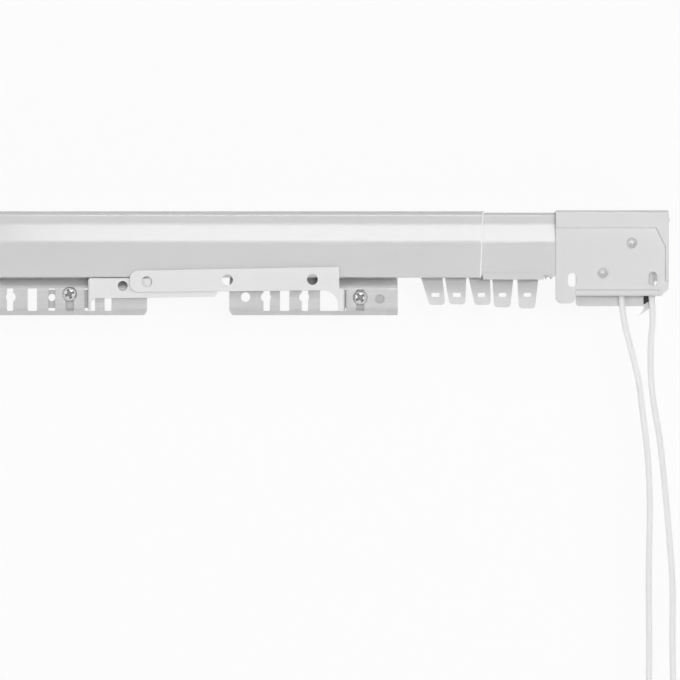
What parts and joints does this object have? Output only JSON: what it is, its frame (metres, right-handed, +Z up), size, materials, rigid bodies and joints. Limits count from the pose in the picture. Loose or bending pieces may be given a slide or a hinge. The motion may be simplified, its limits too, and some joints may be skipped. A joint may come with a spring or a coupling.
{
  "type": "extendable curtain rod",
  "caption": "Adjustable two-way-draw traverse curtain rod: nested steel sections, corded master carriers with overlapping arms, slides, end housings, wall brackets and cord loop.",
  "frame": {"origin": "midway between the right wall bracket's two screw holes, on the wall", "axes": "+X along the rod to the right, +Y into the wall, +Z up; the rod's front faces -Y"},
  "size_m": [0.4727, 0.0916, 0.2995],
  "materials": {
    "enamel": "semi-gloss enamel",
    "plated_steel": "satin grey",
    "bright_steel": "bright zinc",
    "acetal": "satin",
    "white_plastic": "gloss",
    "cord": "braided"
  },
  "bodies": {
    "wall_bracket_right": {"wall_bracket_right": "enamel"},
    "right_end": {"rod_inner_section": "enamel", "right_end_housing": "enamel", "right_pulley_frame": "plated_steel", "right_pulley_axles": "bright_steel", "gate_rivet": "bright_steel", "cord_lower_run": "cord", "cord_upper_run": "cord", "cord_lower_drop": "cord", "cord_upper_drop": "cord", "cord_hanging_loop": "cord", "tension_base": "white_plastic", "tension_spring": "bright_steel"},
    "left_section": {"rod_outer_section": "enamel", "left_end_housing": "enamel", "left_pulley_frame": "plated_steel", "left_pulley_axle": "bright_steel", "cord_idler_turn": "cord"},
    "wall_bracket_left": {"wall_bracket_left": "enamel"},
    "right_master": {"right_carrier_plate": "plated_steel", "right_carrier_runner": "acetal", "right_carrier_rivets": "bright_steel", "right_cord_clamp": "plated_steel", "overlap_arm": "enamel", "right_arm_screw": "bright_steel"},
    "left_master": {"left_carrier_plate": "plated_steel", "left_carrier_runner": "acetal", "left_carrier_rivets": "bright_steel", "left_cord_clamp": "plated_steel", "underlap_arm": "enamel", "left_arm_screw": "bright_steel"},
    "gate": {"carrier_gate": "enamel"},
    "lower_pulley": {"lower_cord_pulley": "acetal"},
    "upper_pulley": {"upper_cord_pulley": "acetal"},
    "idler": {"idler_pulley": "acetal"},
    "tension_fork": {"tension_yoke": "bright_steel", "tension_axle": "bright_steel"},
    "tension_pulley": {"tension_wheel": "acetal"},
    "right_runner_1": {"right_slide_1": "acetal"},
    "right_runner_2": {"right_slide_2": "acetal"},
    "right_runner_3": {"right_slide_3": "acetal"},
    "right_runner_4": {"right_slide_4": "acetal"},
    "right_runner_5": {"right_slide_5": "acetal"},
    "left_runner_1": {"left_slide_1": "acetal"},
    "left_runner_2": {"left_slide_2": "acetal"},
    "left_runner_3": {"left_slide_3": "acetal"},
    "left_runner_4": {"left_slide_4": "acetal"},
    "left_runner_5": {"left_slide_5": "acetal"}
  },
  "joints": [
    {"name": "projection", "type": "slide", "parent": "wall_bracket_right", "child": "right_end", "axis": [0, -1, 0], "range_m": [0, 0.025]},
    {"name": "telescope", "type": "slide", "parent": "right_end", "child": "left_section", "axis": [-1, 0, 0], "range_m": [0, 0.254], "deforming": ["cord_lower_run", "cord_upper_run"]},
    {"name": "left_projection", "type": "slide", "parent": "left_section", "child": "wall_bracket_left", "axis": [0, 1, 0], "range_m": [0, 0.025]},
    {"name": "draw", "type": "slide", "parent": "right_end", "child": "right_master", "axis": [1, 0, 0], "range_m": [0, 0.02]},
    {"name": "left_draw", "type": "slide", "parent": "left_section", "child": "left_master", "axis": [-1, 0, 0], "range_m": [0, 0.02]},
    {"name": "gate_swing", "type": "hinge", "parent": "right_end", "child": "gate", "pos_m": [-0.04745, -0.086, -0.0122], "axis": [0, 0, 1], "range_deg": [0, 75]},
    {"name": "lower_pulley_turn", "type": "hinge", "parent": "right_end", "child": "lower_pulley", "pos_m": [-0.02095, -0.0817, -0.0103], "axis": [0, 1, 0], "continuous": true},
    {"name": "upper_pulley_turn", "type": "hinge", "parent": "right_end", "child": "upper_pulley", "pos_m": [-0.00675, -0.0817, 0.0043], "axis": [0, 1, 0], "continuous": true},
    {"name": "idler_turn", "type": "hinge", "parent": "left_section", "child": "idler", "pos_m": [-0.43195, -0.0817, 0.006], "axis": [0, 1, 0], "continuous": true},
    {"name": "tension_travel", "type": "slide", "parent": "right_end", "child": "tension_fork", "axis": [0, 0, 1], "range_m": [0, 0.008], "stiffness_N_per_m": 300, "springref_m": -0.005, "deforming": ["cord_hanging_loop", "tension_spring"]},
    {"name": "tension_pulley_turn", "type": "hinge", "parent": "tension_fork", "child": "tension_pulley", "pos_m": [0.00805, -0.0817, -0.2245], "axis": [0, 1, 0], "continuous": true},
    {"name": "right_slide_1_run", "type": "slide", "parent": "right_end", "child": "right_runner_1", "axis": [1, 0, 0], "range_m": [0, 0.0086]},
    {"name": "right_slide_2_run", "type": "slide", "parent": "right_end", "child": "right_runner_2", "axis": [1, 0, 0], "range_m": [0, 0.0076]},
    {"name": "right_slide_3_run", "type": "slide", "parent": "right_end", "child": "right_runner_3", "axis": [1, 0, 0], "range_m": [0, 0.0066]},
    {"name": "right_slide_4_run", "type": "slide", "parent": "right_end", "child": "right_runner_4", "axis": [1, 0, 0], "range_m": [0, 0.0058]},
    {"name": "right_slide_5_run", "type": "slide", "parent": "right_end", "child": "right_runner_5", "axis": [1, 0, 0], "range_m": [0, 0.0042]},
    {"name": "left_slide_1_run", "type": "slide", "parent": "left_section", "child": "left_runner_1", "axis": [-1, 0, 0], "range_m": [0, 0.0086]},
    {"name": "left_slide_2_run", "type": "slide", "parent": "left_section", "child": "left_runner_2", "axis": [-1, 0, 0], "range_m": [0, 0.0076]},
    {"name": "left_slide_3_run", "type": "slide", "parent": "left_section", "child": "left_runner_3", "axis": [-1, 0, 0], "range_m": [0, 0.0066]},
    {"name": "left_slide_4_run", "type": "slide", "parent": "left_section", "child": "left_runner_4", "axis": [-1, 0, 0], "range_m": [0, 0.0058]},
    {"name": "left_slide_5_run", "type": "slide", "parent": "left_section", "child": "left_runner_5", "axis": [-1, 0, 0], "range_m": [0, 0.0042]}
  ],
  "couplings": [
    {"joint": "left_projection", "follows": "projection", "ratio": 1},
    {"joint": "left_draw", "follows": "draw", "ratio": 1},
    {"joint": "lower_pulley_turn", "follows": "draw", "rad_per_m": -111.11},
    {"joint": "upper_pulley_turn", "follows": "draw", "rad_per_m": 111.11},
    {"joint": "idler_turn", "follows": "draw", "rad_per_m": 136.99},
    {"joint": "tension_pulley_turn", "follows": "draw", "rad_per_m": 166.67},
    {"joint": "right_slide_1_run", "follows": "draw", "ratio": 0.43},
    {"joint": "right_slide_2_run", "follows": "draw", "ratio": 0.38},
    {"joint": "right_slide_3_run", "follows": "draw", "ratio": 0.33},
    {"joint": "right_slide_4_run", "follows": "draw", "ratio": 0.29},
    {"joint": "right_slide_5_run", "follows": "draw", "ratio": 0.21},
    {"joint": "left_slide_1_run", "follows": "draw", "ratio": 0.43},
    {"joint": "left_slide_2_run", "follows": "draw", "ratio": 0.38},
    {"joint": "left_slide_3_run", "follows": "draw", "ratio": 0.33},
    {"joint": "left_slide_4_run", "follows": "draw", "ratio": 0.29},
    {"joint": "left_slide_5_run", "follows": "draw", "ratio": 0.21}
  ]
}
